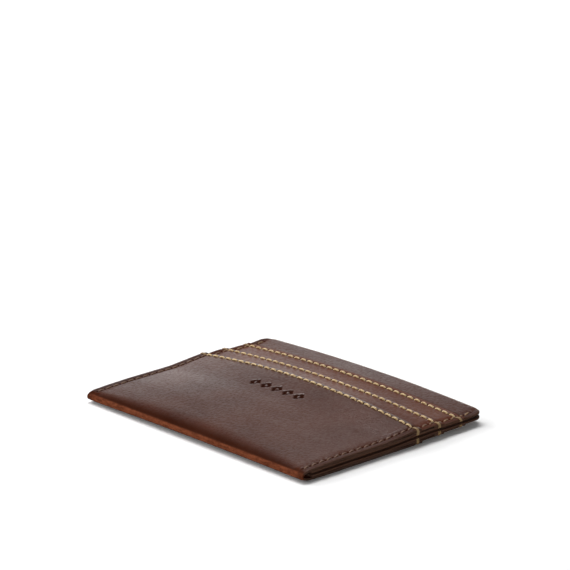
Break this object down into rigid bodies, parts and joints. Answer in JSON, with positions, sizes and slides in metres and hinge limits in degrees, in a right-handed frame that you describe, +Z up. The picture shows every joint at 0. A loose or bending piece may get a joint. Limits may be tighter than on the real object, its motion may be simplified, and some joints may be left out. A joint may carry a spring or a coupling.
{
  "type": "minimalist wallet",
  "caption": "Slim leather card holder: one wrap folded at the base, stepped card slots on both faces, a main pocket between them and contrast stitching.",
  "frame": {"origin": "middle of the footprint, on the surface that the holder lies on", "axes": "+X along the width, +Y from the folded bottom edge to the open mouth, +Z up out of the front face"},
  "size_m": [0.1006, 0.0784, 0.0081],
  "materials": {
    "wrap_leather": "waxed dark brown pull-up leather, satin",
    "panel_leather": "waxed dark brown pull-up leather, satin",
    "strip_leather": "waxed dark brown pull-up leather, satin",
    "lining_fabric": "fine dark brown woven lining, matt",
    "slot_thread": "golden tan waxed polyester thread",
    "seam_thread": "tan waxed polyester thread"
  },
  "bodies": {
    "root": {"outer_wrap": "wrap_leather", "front_body_panel": "panel_leather", "front_upper_slot_strip": "strip_leather", "front_middle_slot_strip": "strip_leather", "front_main_lining": "lining_fabric", "front_upper_pocket_tail": "lining_fabric", "front_middle_pocket_tail": "lining_fabric", "front_slot_thread_lower": "slot_thread", "front_slot_thread_middle": "slot_thread", "front_slot_thread_upper": "slot_thread", "front_seam_thread_left": "seam_thread", "front_seam_thread_right": "seam_thread", "back_body_panel": "panel_leather", "back_upper_slot_strip": "strip_leather", "back_middle_slot_strip": "strip_leather", "back_main_lining": "lining_fabric", "back_upper_pocket_tail": "lining_fabric", "back_middle_pocket_tail": "lining_fabric", "back_slot_thread_lower": "slot_thread", "back_slot_thread_middle": "slot_thread", "back_slot_thread_upper": "slot_thread", "back_seam_thread_left": "seam_thread", "back_seam_thread_right": "seam_thread"}
  },
  "joints": []
}
